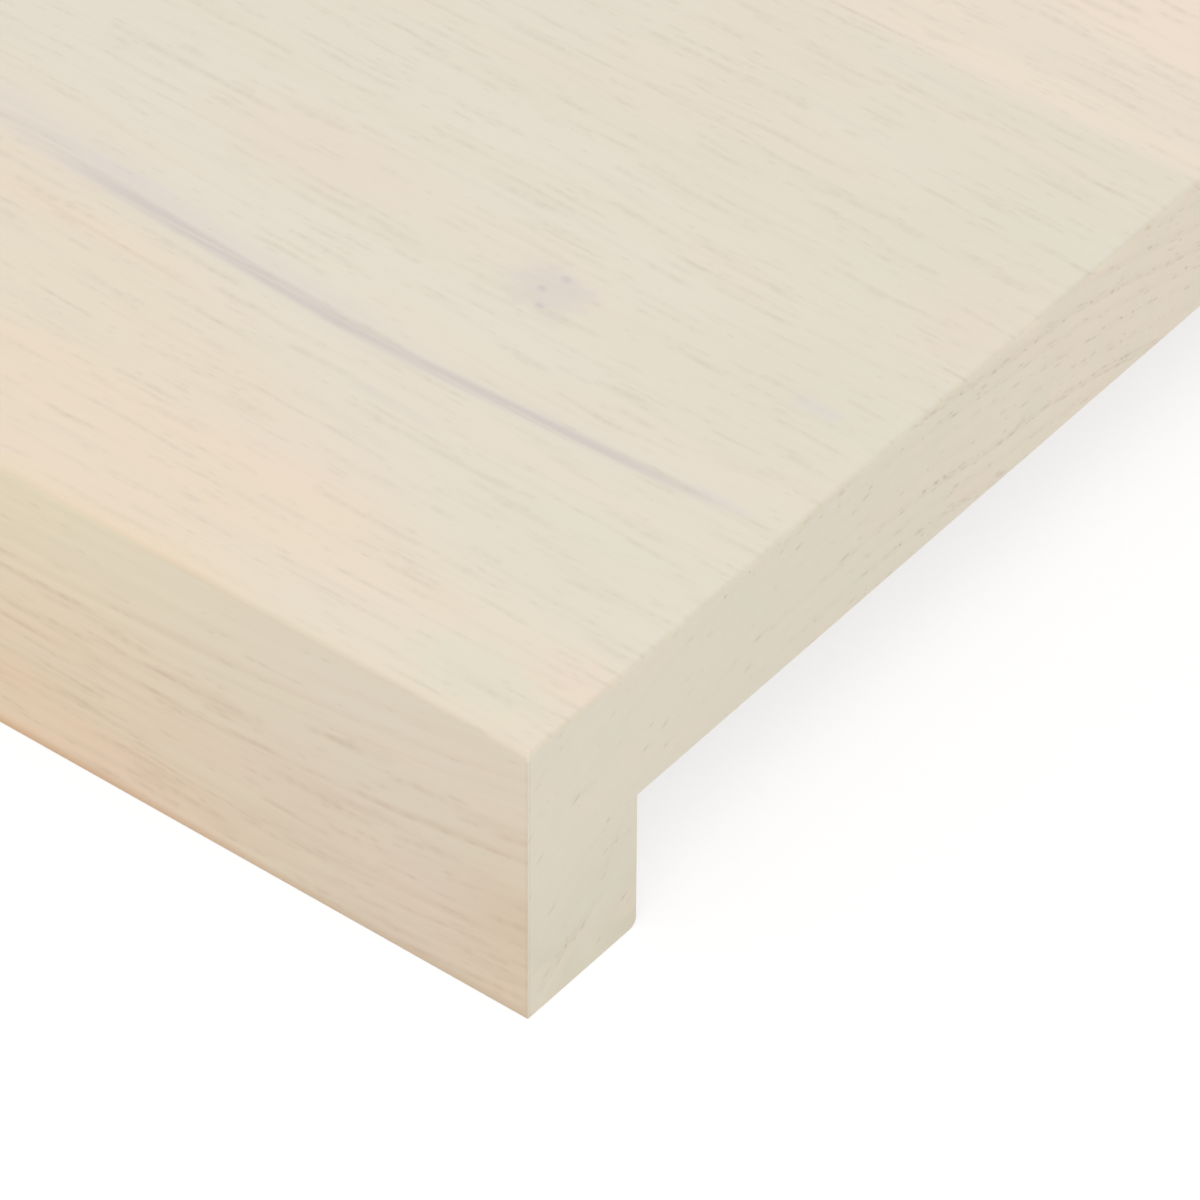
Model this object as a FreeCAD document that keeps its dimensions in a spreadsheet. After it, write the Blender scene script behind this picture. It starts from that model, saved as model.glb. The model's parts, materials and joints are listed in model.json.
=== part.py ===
"""Solid oak window sill board with a thickened front edge.

One plank, moulded to an L section: a flat board that lies on the wall below the window,
and a nosing along its front edge that hangs down over the face of the wall.

Frame, in millimetres: X along the board, Y from the front edge to the back edge, Z up.
The origin is the centre of the board's footprint, level with the foot of the nosing.
"""
import FreeCAD, Part
import os
from enum import IntEnum

import Sketcher

NODE = "sill_board"
PARTS_FOLDER = "parts"

# Driving dimensions: alias, value in millimetres, what it measures
DIMENSIONS = (
    ("board_length", 1000.0, "length of the board along the window"),
    ("board_depth", 250.0, "front face of the nosing to the back edge"),
    ("board_thickness", 20.0, "thickness of the flat board"),
    ("nosing_height", 40.0, "top of the board to the foot of the nosing"),
    ("nosing_depth", 19.5, "front face to back face of the nosing"),
    ("arris_radius", 0.8, "easing of the top arrises along the front and across the ends"),
    ("foot_radius", 2.0, "rounding of the nosing's foot on the wall side"),
)

# Two coordinates nearer than this are the same, in millimetres
TOUCHING = 1e-4


class Side(IntEnum):
    """Sides of the L section, in the order that they are drawn."""

    FRONT = 0
    TOP = 1
    BACK = 2
    UNDERSIDE = 3
    WALL_SIDE = 4
    FOOT = 5


class LinePoint(IntEnum):
    """The two ends of a sketch line, as constraints number them."""

    START = 1
    END = 2


class SketchAxis(IntEnum):
    """The sketch's own axes, as constraints number them."""

    HORIZONTAL = -1
    VERTICAL = -2


def make_sheet(doc):
    """Write the driving dimensions into a spreadsheet, one row and one alias each."""
    sheet = doc.addObject("Spreadsheet::Sheet", "sizes")
    for row, (alias, value, meaning) in enumerate(DIMENSIONS, start=1):
        sheet.set(f"A{row}", alias)
        sheet.set(f"B{row}", str(value))
        sheet.set(f"C{row}", meaning)
        sheet.setAlias(f"B{row}", alias)
    doc.recompute()
    return sheet


def section_corners(sheet):
    """Give the L section's corners, clockwise from the foot of the front face."""
    front = -sheet.board_depth / 2
    back = sheet.board_depth / 2
    wall_side = front + sheet.nosing_depth
    top = sheet.nosing_height
    underside = top - sheet.board_thickness
    return [
        FreeCAD.Vector(front, 0, 0),
        FreeCAD.Vector(front, top, 0),
        FreeCAD.Vector(back, top, 0),
        FreeCAD.Vector(back, underside, 0),
        FreeCAD.Vector(wall_side, underside, 0),
        FreeCAD.Vector(wall_side, 0, 0),
    ]


def bind_side(sketch, kind, side, first, second, alias):
    """Drive the length of one side of the section from a spreadsheet cell."""
    length = sketch.Geometry[side].length()
    constraint = Sketcher.Constraint(kind, side, first, side, second, length)
    sketch.renameConstraint(sketch.addConstraint(constraint), alias)
    sketch.setExpression(f"Constraints.{alias}", f"sizes.{alias}")


def draw_section(body, sheet):
    """Draw the L section across the board, centred on the board's depth."""
    sketch = body.newObject("Sketcher::SketchObject", "section")
    across = next(plane for plane in body.Origin.OriginFeatures if plane.Role == "YZ_Plane")
    sketch.AttachmentSupport = [(across, "")]
    sketch.MapMode = "FlatFace"

    start, end = LinePoint.START, LinePoint.END
    corners = section_corners(sheet)
    for corner, following in zip(corners, corners[1:] + corners[:1]):
        sketch.addGeometry(Part.LineSegment(corner, following), False)
    for side in Side:
        following = (side + 1) % len(Side)
        sketch.addConstraint(Sketcher.Constraint("Coincident", side, end, following, start))
    for side in (Side.FRONT, Side.BACK, Side.WALL_SIDE):
        sketch.addConstraint(Sketcher.Constraint("Vertical", side))
    for side in (Side.UNDERSIDE, Side.FOOT):
        sketch.addConstraint(Sketcher.Constraint("Horizontal", side))

    # The top is level because its two ends mirror each other across the middle of the depth
    middle, floor = SketchAxis.VERTICAL, SketchAxis.HORIZONTAL
    sketch.addConstraint(Sketcher.Constraint("Symmetric", Side.TOP, start, Side.TOP, end, middle))
    sketch.addConstraint(Sketcher.Constraint("PointOnObject", Side.FRONT, start, floor))
    bind_side(sketch, "DistanceX", Side.TOP, start, end, "board_depth")
    bind_side(sketch, "DistanceY", Side.FRONT, start, end, "nosing_height")
    bind_side(sketch, "DistanceY", Side.BACK, end, start, "board_thickness")
    bind_side(sketch, "DistanceX", Side.FOOT, end, start, "nosing_depth")
    return sketch


def pad_plank(doc, body, section):
    """Run the section along the board, half of its length to each side."""
    plank = body.newObject("PartDesign::Pad", "plank")
    plank.Profile = section
    plank.SideType = "Symmetric"
    plank.setExpression("Length", "sizes.board_length")
    doc.recompute()
    return plank


def straight_edges(shape, wanted):
    """Name the edges of a shape whose two end points pass a test together."""
    names = []
    for number, edge in enumerate(shape.Edges, start=1):
        ends = [vertex.Point for vertex in edge.Vertexes]
        if wanted(ends):
            names.append(f"Edge{number}")
    return names


def all_at(ends, axis, place):
    """Say whether every end point has the given coordinate on one axis."""
    return all(abs(getattr(end, axis) - place) < TOUCHING for end in ends)


def round_edges(doc, body, base, name, edges, alias):
    """Round the named edges of the base feature by a radius from the spreadsheet."""
    rounding = body.newObject("PartDesign::Fillet", name)
    rounding.Base = (base, edges)
    rounding.setExpression("Radius", f"sizes.{alias}")
    doc.recompute()
    return rounding


def make_board(doc, sheet):
    """Build the sill board: the moulded plank, its rounded foot and its eased arrises."""
    body = doc.addObject("PartDesign::Body", NODE)
    body.Label = NODE
    plank = pad_plank(doc, body, draw_section(body, sheet))

    back = sheet.board_depth / 2
    wall_side = sheet.nosing_depth - sheet.board_depth / 2
    top = sheet.nosing_height

    foot_edge = straight_edges(
        plank.Shape,
        lambda ends: all_at(ends, "y", wall_side) and all_at(ends, "z", 0),
    )
    foot = round_edges(doc, body, plank, "foot_round", foot_edge, "foot_radius")

    # The back edge meets the window frame and keeps its square arris
    top_arrises = straight_edges(
        foot.Shape,
        lambda ends: all_at(ends, "z", top) and not all_at(ends, "y", back),
    )
    body.Tip = round_edges(doc, body, foot, "eased_arrises", top_arrises, "arris_radius")
    doc.recompute()
    return body


def check_model(doc, body):
    """Stop if a feature failed or the board isn't one sound solid."""
    failed = [item.Name for item in doc.Objects if {"Invalid", "Error"} & set(item.State)]
    if failed:
        raise RuntimeError(f"features failed: {failed}")
    shape = body.Shape
    if shape.isNull() or not shape.isValid() or len(shape.Solids) != 1:
        raise RuntimeError(f"{body.Label} is not one valid solid")


def main():
    """Build the document, check it and write the board's solid."""
    doc = FreeCAD.newDocument("window_sill_board")
    sheet = make_sheet(doc)
    body = make_board(doc, sheet)
    check_model(doc, body)
    os.makedirs(PARTS_FOLDER, exist_ok=True)
    body.Shape.exportStep(f"{PARTS_FOLDER}/{body.Label}.step")
    box = body.Shape.BoundBox
    print(f"{body.Label}: {box.XLength:.2f} x {box.YLength:.2f} x {box.ZLength:.2f} mm,"
          f" {body.Shape.Volume / 1000:.1f} cm3")


main()
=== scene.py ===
"""White-oiled oak window sill board: its looks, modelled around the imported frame.

The board is one plank of L section. Its mesh is modelled here at the size that the frame gives,
with its arrises eased as fine as a close view needs. The oak is one solid pattern that runs
through the plank: growth rings round a pith below the board, vessels along the fibres that show
as dashes on the long faces and as dots on the ends, and a thin white oil over all of it.
"""
from __future__ import annotations

import json
import logging
import math
from abc import ABC, abstractmethod
from dataclasses import dataclass
from enum import Enum, IntEnum
from functools import partial, reduce
from typing import Callable

import bmesh
import bpy
from mathutils import Matrix, Vector

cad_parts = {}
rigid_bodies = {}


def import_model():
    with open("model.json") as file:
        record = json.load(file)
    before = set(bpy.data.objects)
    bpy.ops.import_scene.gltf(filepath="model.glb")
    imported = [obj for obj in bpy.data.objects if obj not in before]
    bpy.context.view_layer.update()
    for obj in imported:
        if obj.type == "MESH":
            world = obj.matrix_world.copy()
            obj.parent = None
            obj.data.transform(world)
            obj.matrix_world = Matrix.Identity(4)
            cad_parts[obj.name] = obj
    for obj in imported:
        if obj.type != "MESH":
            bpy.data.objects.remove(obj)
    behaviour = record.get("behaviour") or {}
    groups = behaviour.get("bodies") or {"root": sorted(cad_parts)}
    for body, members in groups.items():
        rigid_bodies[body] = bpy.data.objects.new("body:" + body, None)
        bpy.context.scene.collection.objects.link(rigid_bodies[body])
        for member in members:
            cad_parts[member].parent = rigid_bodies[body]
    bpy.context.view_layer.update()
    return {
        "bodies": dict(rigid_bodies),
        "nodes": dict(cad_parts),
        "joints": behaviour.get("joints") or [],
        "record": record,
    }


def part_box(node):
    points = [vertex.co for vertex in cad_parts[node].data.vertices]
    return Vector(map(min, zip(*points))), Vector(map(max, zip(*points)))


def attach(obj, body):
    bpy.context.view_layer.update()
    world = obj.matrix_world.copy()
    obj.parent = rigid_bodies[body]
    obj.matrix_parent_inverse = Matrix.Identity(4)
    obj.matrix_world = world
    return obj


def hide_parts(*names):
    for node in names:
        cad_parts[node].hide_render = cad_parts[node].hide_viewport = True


LOG = logging.getLogger("sill_board_scene")

MM = 0.001
PER_METRE = 1000.0

# The curve from what a screen shows to the light that it stands for
SHOWN_MOST = 255.0
TOE_END, TOE_SLOPE = 0.04045, 12.92
CURVE_OFFSET, CURVE_POWER = 0.055, 2.4

Colour = tuple[float, float, float, float]
Triple = tuple[float, float, float]
Span = tuple[float, float]
Wire = bpy.types.NodeSocket
Outlets = bpy.types.NodeOutputs
Feed = Wire | float | tuple[float, ...]
Feeds = dict[str | int, Feed]


def srgb(red: int, green: int, blue: int) -> Colour:
    """Turn display values into the linear colour that a shader takes.

    Args:
        red: red as shown on a screen, 0 to 255.
        green: green as shown on a screen, 0 to 255.
        blue: blue as shown on a screen, 0 to 255.

    Returns:
        The linear colour, opaque.
    """
    def linear(shown: int) -> float:
        """Undo the display curve of one channel.

        Args:
            shown: the channel as shown on a screen.

        Returns:
            The channel's light, 0 to 1.
        """
        share = shown / SHOWN_MOST
        if share <= TOE_END:
            return share / TOE_SLOPE
        return ((share + CURVE_OFFSET) / (1.0 + CURVE_OFFSET)) ** CURVE_POWER

    return linear(red), linear(green), linear(blue), 1.0


class Socket(Enum):
    """Kinds of socket on a node group."""

    NUMBER = "NodeSocketFloat"
    PLACE = "NodeSocketVector"


class Axes(Enum):
    """Whether a pattern fills the wood or lies on one face."""

    SOLID = "3D"
    FLAT = "2D"


class Coat(Enum):
    """Ways to lay one colour over another."""

    COVER = "MIX"
    TINT = "MULTIPLY"


class Axis(IntEnum):
    """The board's axes, numbered as in a vector."""

    X = 0
    Y = 1
    Z = 2


class MeshPart(Enum):
    """What is picked in edit mode, by the name of its list in the mesh."""

    EDGE = "edges"
    FACE = "faces"


class NodeBench:
    """Places shader nodes in one tree and wires them up."""

    MIX_FACTOR, MIX_BELOW, MIX_ABOVE, MIX_RESULT = 0, 6, 7, 2
    NOISE_MIDDLE = 0.5

    def __init__(self, tree: bpy.types.NodeTree) -> None:
        """Take the tree to work in."""
        self.tree = tree

    @classmethod
    def cleared(cls, holder: bpy.types.Material | bpy.types.World) -> NodeBench:
        """Work in a material or a sky, without the nodes that it starts with.

        Args:
            holder: the material or the sky.

        Returns:
            The bench of its empty tree.
        """
        holder.use_nodes = True
        holder.node_tree.nodes.clear()
        return cls(holder.node_tree)

    def feed(self, socket: Wire, value: Feed) -> None:
        """Link a socket to another one, or set its plain value.

        Args:
            socket: the input to feed.
            value: the output that feeds it, or its plain value.
        """
        if isinstance(value, Wire):
            self.tree.links.new(value, socket)
        else:
            socket.default_value = value

    def node(self, kind: str, feeds: Feeds | None = None, **settings: object) -> bpy.types.Node:
        """Add a node, set its options and feed its inputs.

        Args:
            kind: the node's type, without its ShaderNode prefix.
            feeds: input name or number to the socket or value that feeds it.
            settings: the node's own options.

        Returns:
            The new node.
        """
        made = self.tree.nodes.new(f"ShaderNode{kind}")
        for option, choice in settings.items():
            setattr(made, option, choice)
        for key, value in (feeds or {}).items():
            self.feed(made.inputs[key], value)
        return made

    def math(self, operation: str, *values: Feed) -> Wire:
        """Work out one number from up to three others."""
        return self.node("Math", dict(enumerate(values)), operation=operation).outputs[0]

    def product(self, *values: Feed) -> Wire:
        """Multiply two or more numbers."""
        return reduce(partial(self.math, "MULTIPLY"), values)

    def vector(self, operation: str, *values: Feed) -> Wire:
        """Work out one vector from up to three others."""
        return self.node("VectorMath", dict(enumerate(values)), operation=operation).outputs[0]

    def length(self, place: Feed) -> Wire:
        """Measure a vector."""
        return self.node("VectorMath", {0: place}, operation="LENGTH").outputs["Value"]

    def parts(self, place: Feed) -> tuple[Wire, ...]:
        """Split a vector into its X, Y and Z."""
        return tuple(self.node("SeparateXYZ", {0: place}).outputs)

    def join(self, x: Feed, y: Feed, z: Feed) -> Wire:
        """Make a vector of three numbers."""
        return self.node("CombineXYZ", {0: x, 1: y, 2: z}).outputs[0]

    def step(self, value: Feed, low: Feed, high: Feed, start: Feed = 0.0, end: Feed = 1.0) -> Wire:
        """Ease a number from one level to another between two limits.

        Args:
            value: the number to follow.
            low: the limit where the result leaves its first level.
            high: the limit where the result reaches its second level.
            start: the first level.
            end: the second level.

        Returns:
            The eased number.
        """
        feeds = {"Value": value, "From Min": low, "From Max": high, "To Min": start, "To Max": end}
        return self.node("MapRange", feeds, interpolation_type="SMOOTHSTEP").outputs["Result"]

    def fall(self, value: Feed, low: Feed, high: Feed, start: Feed = 1.0) -> Wire:
        """Ease a number down to 0 between two limits."""
        return self.step(value, low, high, start, 0.0)

    def spread(self, share: Feed, start: Feed, end: Feed) -> Wire:
        """Turn a share from 0 to 1 into a level between two others."""
        return self.node("MapRange", {"Value": share, "To Min": start, "To Max": end}).outputs["Result"]

    def blend(self, share: Feed, below: Feed, above: Feed, coat: Coat = Coat.COVER) -> Wire:
        """Lay one colour over another by a share.

        Args:
            share: how far the upper colour counts.
            below: the lower colour.
            above: the upper colour.
            coat: whether the upper colour covers the lower one or tints it.

        Returns:
            The mixed colour.
        """
        feeds = {self.MIX_FACTOR: share, self.MIX_BELOW: below, self.MIX_ABOVE: above}
        made = self.node("Mix", feeds, data_type="RGBA", blend_type=coat.value)
        return made.outputs[self.MIX_RESULT]

    def noise(self, place: Feed, reach: Feed, detail: float = 1.0, axes: Axes = Axes.SOLID) -> Wire:
        """Add smooth noise whose features are as long as reach on each axis.

        Args:
            place: where to read the noise, in millimetres.
            reach: the size of its features along X, Y and Z, in millimetres.
            detail: how many finer layers it has.
            axes: whether it changes along all three axes or only the first two.

        Returns:
            The noise's level, from 0 to 1.
        """
        feeds = {"Vector": self.vector("DIVIDE", place, reach), "Scale": 1.0, "Detail": detail}
        return self.node("TexNoise", feeds, noise_dimensions=axes.value).outputs["Fac"]

    def drift(self, place: Feed, reach: Feed, detail: float = 1.0) -> Wire:
        """Stray to both sides of 0 by a smooth noise."""
        return self.math("SUBTRACT", self.noise(place, reach, detail), self.NOISE_MIDDLE)

    def luck(self, number: Feed) -> Wire:
        """Draw a level from 0 to 1 for each whole number."""
        return self.node("TexWhiteNoise", {"W": number}, noise_dimensions="1D").outputs["Value"]


class Effect(ABC):
    """A look that several finishes share, kept as one shader node group."""

    name: str
    takes: dict[str, Socket]
    gives: dict[str, Socket]

    def __init__(self) -> None:
        """Make the group's sockets and wire its nodes."""
        self.tree = bpy.data.node_groups.new(self.name, "ShaderNodeTree")
        for sockets, way in ((self.takes, "INPUT"), (self.gives, "OUTPUT")):
            for label, kind in sockets.items():
                self.tree.interface.new_socket(label, in_out=way, socket_type=kind.value)
        self.bench = NodeBench(self.tree)
        self.given = self.tree.nodes.new("NodeGroupInput").outputs
        outlet = self.tree.nodes.new("NodeGroupOutput").inputs
        for label, socket in self.wire().items():
            self.bench.feed(outlet[label], socket)

    @abstractmethod
    def wire(self) -> dict[str, Wire]:
        """Wire the group's nodes.

        Returns:
            The socket that feeds each of the group's outputs, by name.
        """

    def place(self, bench: NodeBench, feeds: Feeds) -> Outlets:
        """Put the group into a finish with its own values, and give its outputs."""
        return bench.node("Group", feeds, node_tree=self.tree).outputs


@dataclass(frozen=True)
class OakLog:
    """The trunk that the plank was sawn from, in the board's frame and in millimetres.

    The pith runs along the board, below it, and the rings are drawn out to one side of it. The
    fibres swing up and down along the plank in one wave per plank length, so that the wood is
    the same height at both ends, and they sweep up over the last stretch before each end.
    """

    plank_length: float
    pith_y: float = -66.0
    pith_z: float = -115.0
    lopsidedness: float = 0.0025
    ring_width: float = 2.9
    ring_unevenness: float = 1.3
    ring_memory: float = 9.0
    wander_reach: Triple = (120.0, 34.0, 34.0)
    wander_detail: float = 2.0
    sweep_reach: float = 34.0

    @property
    def swing(self) -> float:
        """Give the length of plank in one radian of the fibres' wave."""
        return self.plank_length / math.tau


class LogEffect(Effect):
    """An effect that follows the log that the plank was sawn from."""

    def __init__(self, log: OakLog) -> None:
        """Take the log, and build the group for it."""
        self.log = log
        super().__init__()


class PlankGrain(LogEffect):
    """Bends places in the plank so that their first axis runs along the fibres."""

    name = "plank grain"
    takes = {"Place": Socket.PLACE} | dict.fromkeys(("Rise", "Sweep", "Wander"), Socket.NUMBER)
    gives = {"Fibre": Socket.PLACE}

    def wire(self) -> dict[str, Wire]:
        """Shift each place down by the fibres' rise and sweep, and sideways by their wander.

        Returns:
            The place along the fibres.
        """
        bench, given, log = self.bench, self.given, self.log
        x, y, z = bench.parts(given["Place"])
        from_right_end = bench.math("SUBTRACT", x, log.plank_length / 2)
        wave = bench.math("SINE", bench.math("DIVIDE", from_right_end, log.swing))
        lift = bench.product(wave, log.swing, given["Rise"])
        past_end = bench.math("SUBTRACT", bench.math("ABSOLUTE", x), log.plank_length / 2)
        bend = bench.math("EXPONENT", bench.math("DIVIDE", past_end, log.sweep_reach))
        bend = bench.product(bench.math("SUBTRACT", bend, 1.0), log.sweep_reach)
        lift = bench.math("MULTIPLY_ADD", bend, given["Sweep"], lift)
        drift = bench.drift(given["Place"], log.wander_reach, log.wander_detail)
        wander = bench.product(drift, given["Wander"])
        level = bench.math("SUBTRACT", z, lift)
        fibre = bench.join(x, bench.math("ADD", y, wander), bench.math("ADD", level, wander))
        return {"Fibre": fibre}


class GrowthRings(LogEffect):
    """Counts the years outwards from the pith, and marks the porous wood of each spring."""

    name = "growth rings"
    takes = {"Fibre": Socket.PLACE}
    gives = {"Spring": Socket.NUMBER, "Radius": Socket.NUMBER}

    SPRING_STARTS = (0.0, 0.12)
    SPRING_FADES = (0.22, 0.6)
    WEAKEST_YEAR = 0.2

    def wire(self) -> dict[str, Wire]:
        """Measure out from the pith, and fold the distance into years of uneven width and strength.

        Returns:
            How far the wood is spring wood, and its distance from the pith.
        """
        bench, log = self.bench, self.log
        _, y, z = bench.parts(self.given["Fibre"])
        aside = bench.math("SUBTRACT", y, log.pith_y)
        drawn_out = bench.math("MULTIPLY_ADD", aside, -log.lopsidedness, 1.0)
        above = bench.math("SUBTRACT", z, log.pith_z)
        radius = bench.length(bench.join(0.0, bench.product(aside, drawn_out), above))
        uneven = bench.noise(bench.join(radius, 0.0, 0.0), (log.ring_memory, 1.0, 1.0), detail=0.0)
        years = bench.math("DIVIDE", radius, log.ring_width)
        years = bench.math("MULTIPLY_ADD", uneven, log.ring_unevenness, years)
        season = bench.math("FRACT", years)
        opening = bench.step(season, *self.SPRING_STARTS)
        closing = bench.fall(season, *self.SPRING_FADES)
        growth = bench.luck(bench.math("FLOOR", years))
        strength = bench.step(growth, 0.0, 1.0, self.WEAKEST_YEAR, 1.0)
        return {"Spring": bench.product(opening, closing, strength), "Radius": radius}


class Vessels(Effect):
    """Marks the oak's vessels where a face cuts them: fine dashes, some left out by chance."""

    name = "oak vessels"
    takes = {"Spot": Socket.PLACE} | dict.fromkeys(("Length", "Pitch", "Radius", "Share"), Socket.NUMBER)
    gives = {"Hollow": Socket.NUMBER}

    LEAST_SIZE, SIZE_RANGE = 0.5, 0.8
    FAINTEST = 0.3

    def wire(self) -> dict[str, Wire]:
        """Scatter one drawn-out cell per vessel and keep the middle of each chosen cell.

        Returns:
            How far the spot is inside a vessel.
        """
        bench, given = self.bench, self.given
        cell = bench.join(given["Length"], given["Pitch"], 1.0)
        feeds = {"Vector": bench.vector("DIVIDE", given["Spot"], cell), "Scale": 1.0}
        cells = bench.node("TexVoronoi", feeds, voronoi_dimensions=Axes.FLAT.value).outputs
        girth, chosen, depth = bench.parts(cells["Color"])
        radius = bench.math("DIVIDE", given["Radius"], given["Pitch"])
        size = bench.math("MULTIPLY_ADD", girth, self.SIZE_RANGE, self.LEAST_SIZE)
        hollow = bench.fall(cells["Distance"], 0.0, bench.product(radius, size))
        kept = bench.math("LESS_THAN", chosen, given["Share"])
        filled = bench.step(depth, 0.0, 1.0, self.FAINTEST, 1.0)
        return {"Hollow": bench.product(hollow, kept, filled)}


class VesselLines(Effect):
    """Marks the lines of vessels that run along the fibres, open in stretches and beaded."""

    name = "vessel lines"
    takes = {"Spot": Socket.PLACE} | dict.fromkeys(("Length", "Pitch", "Width", "Shut"), Socket.NUMBER)
    gives = {"Hollow": Socket.NUMBER}

    JITTER = 0.6
    THINNEST, WIDTH_RANGE = 0.7, 0.6
    STRIDE = 7.3
    OPENING = 0.14
    WAVER = 0.9
    WAVER_REACH = (9.0, 4.0, 1.0)
    BEAD_SHAPE = 2.2
    BEAD_LEVELS = (0.28, 0.68, 0.45, 1.0)

    def wire(self) -> dict[str, Wire]:
        """Number the lines across the face, and open each of them by a noise of its own.

        Returns:
            How far the spot is inside an open line.
        """
        bench, given = self.bench, self.given
        x, y, _ = bench.parts(given["Spot"])
        waver = bench.noise(given["Spot"], self.WAVER_REACH, axes=Axes.FLAT)
        across = bench.math("MULTIPLY_ADD", waver, self.WAVER, y)
        across = bench.math("DIVIDE", across, given["Pitch"])
        line = bench.math("FLOOR", across)
        luck = bench.luck(line)
        middle = bench.math("MULTIPLY_ADD", luck, self.JITTER, (1.0 - self.JITTER) / 2)
        off = bench.math("ABSOLUTE", bench.math("SUBTRACT", bench.math("FRACT", across), middle))
        girth = bench.math("MULTIPLY_ADD", luck, self.WIDTH_RANGE, self.THINNEST)
        half_width = bench.product(given["Width"], girth)
        body = bench.fall(bench.product(off, given["Pitch"]), 0.0, half_width)
        track = bench.join(x, bench.product(line, self.STRIDE), 0.0)
        stretch = bench.noise(track, bench.join(given["Length"], 1.0, 1.0), axes=Axes.FLAT)
        opened = bench.step(stretch, given["Shut"], bench.math("ADD", given["Shut"], self.OPENING))
        bead = bench.join(bench.product(given["Width"], self.BEAD_SHAPE), 1.0, 1.0)
        beads = bench.step(bench.noise(track, bead, detail=0.0, axes=Axes.FLAT), *self.BEAD_LEVELS)
        return {"Hollow": bench.product(body, opened, beads)}


class GrainStreak(Effect):
    """Marks a streak that runs along a face in a shallow bow, and fades at both of its ends."""

    name = "grain streak"
    takes = {"Place": Socket.PLACE} | dict.fromkeys(
        ("Wobble", "Strands", "Along", "Across", "Half Length", "Lean", "Bow", "Width"), Socket.NUMBER
    )
    gives = {"Stain": Socket.NUMBER, "Halo": Socket.NUMBER}

    CORE, RIM, HALO = 0.2, 1.0, 2.6
    FADE = (0.55, 1.15)
    TAPER = 0.12
    ROUNDNESS = 0.1

    def wire(self) -> dict[str, Wire]:
        """Measure across from the bowed path, with a ragged edge along the fibres.

        Returns:
            How far the place is inside the streak, and inside its halo.
        """
        bench, given = self.bench, self.given
        x, y, _ = bench.parts(given["Place"])
        along = bench.math("DIVIDE", bench.math("SUBTRACT", x, given["Along"]), given["Half Length"])
        squared = bench.math("MULTIPLY_ADD", along, along, self.ROUNDNESS ** 2)
        bowed = bench.math("SUBTRACT", bench.math("SQRT", squared), self.ROUNDNESS)
        leaning = bench.math("MULTIPLY_ADD", along, given["Lean"], given["Across"])
        path = bench.math("ADD", bench.product(bowed, given["Bow"]), leaning)
        path = bench.math("ADD", path, given["Wobble"])
        off = bench.math("ABSOLUTE", bench.math("SUBTRACT", y, path))
        narrowing = bench.math("MULTIPLY_ADD", along, -self.TAPER, 1.0)
        share = bench.math("DIVIDE", off, bench.product(given["Width"], narrowing))
        fade = bench.fall(bench.math("ABSOLUTE", along), *self.FADE)
        stain = bench.product(bench.fall(share, self.CORE, self.RIM), fade, given["Strands"])
        halo = bench.product(bench.fall(share, self.CORE, self.HALO), fade)
        return {"Stain": stain, "Halo": halo}


class PinKnot(Effect):
    """Marks a pin knot: a pale bruise in the wood with three dark specks in it."""

    name = "pin knot"
    takes = {
        "Place": Socket.PLACE,
        "Ragged": Socket.NUMBER,
        "Centre": Socket.PLACE,
        "Size": Socket.NUMBER,
    }
    gives = {"Bruise": Socket.NUMBER, "Specks": Socket.NUMBER}

    LAID_FLAT = (1.0, 1.0, 0.0)
    SPECKS = ((0.4, 2.6, 0.95), (-0.8, -0.3, 0.8), (0.8, -2.8, 0.85))
    SPECK_STRETCH = (0.75, 1.0, 0.0)
    BRUISE_SHAPE = (7.6, 5.8, 1.0)
    BRUISE_EDGE = (0.25, 1.0)

    def wire(self) -> dict[str, Wire]:
        """Measure from the knot's centre, and from each of its specks.

        Returns:
            How far the place is inside the bruise, and inside a speck.
        """
        bench, given = self.bench, self.given
        offset = bench.vector("SUBTRACT", given["Place"], given["Centre"])
        flat = bench.vector("MULTIPLY", offset, self.LAID_FLAT)
        local = bench.vector("DIVIDE", flat, bench.join(given["Size"], given["Size"], 1.0))
        reach = bench.length(bench.vector("DIVIDE", local, self.BRUISE_SHAPE))
        reach = bench.math("ADD", reach, given["Ragged"])
        specks: Feed = 0.0
        for x, y, radius in self.SPECKS:
            gap = bench.vector("SUBTRACT", local, (x, y, 0.0))
            gap = bench.length(bench.vector("MULTIPLY", gap, self.SPECK_STRETCH))
            specks = bench.math("MAXIMUM", specks, bench.fall(gap, 0.0, radius))
        return {"Bruise": bench.fall(reach, *self.BRUISE_EDGE), "Specks": specks}


class OakEffects:
    """The effects that the oak's finishes share, each built once."""

    def __init__(self, log: OakLog) -> None:
        """Build each effect for the log that the plank came from.

        Args:
            log: the log.
        """
        self.grain = PlankGrain(log)
        self.rings = GrowthRings(log)
        self.vessels = Vessels()
        self.lines = VesselLines()
        self.streak = GrainStreak()
        self.knot = PinKnot()


@dataclass(frozen=True)
class VesselCut:
    """How one kind of face cuts the vessels: sizes in millimetres, the rest from 0 to 1."""

    length: float
    pitch: float
    radius: float
    share_apart: float
    share_in_rows: float
    tone: Colour
    strength: float


@dataclass(frozen=True)
class VesselLine:
    """Lines of vessels along a face: sizes in millimetres, the rest from 0 to 1.

    A line is open where its noise is above the shut level, so a higher level shuts more of it.
    """

    length: float
    pitch: float
    width: float
    shut: float
    tone: Colour
    strength: float


@dataclass(frozen=True)
class VesselRows:
    """The darker rows that the vessels gather in on one kind of face.

    The hold of the rings says how far the rows keep to the spring wood, or else to a noise as
    long and wide as the reach, in millimetres.
    """

    reach: Triple
    levels: Span
    hold_of_rings: float
    tone: Colour
    strength: float


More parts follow.
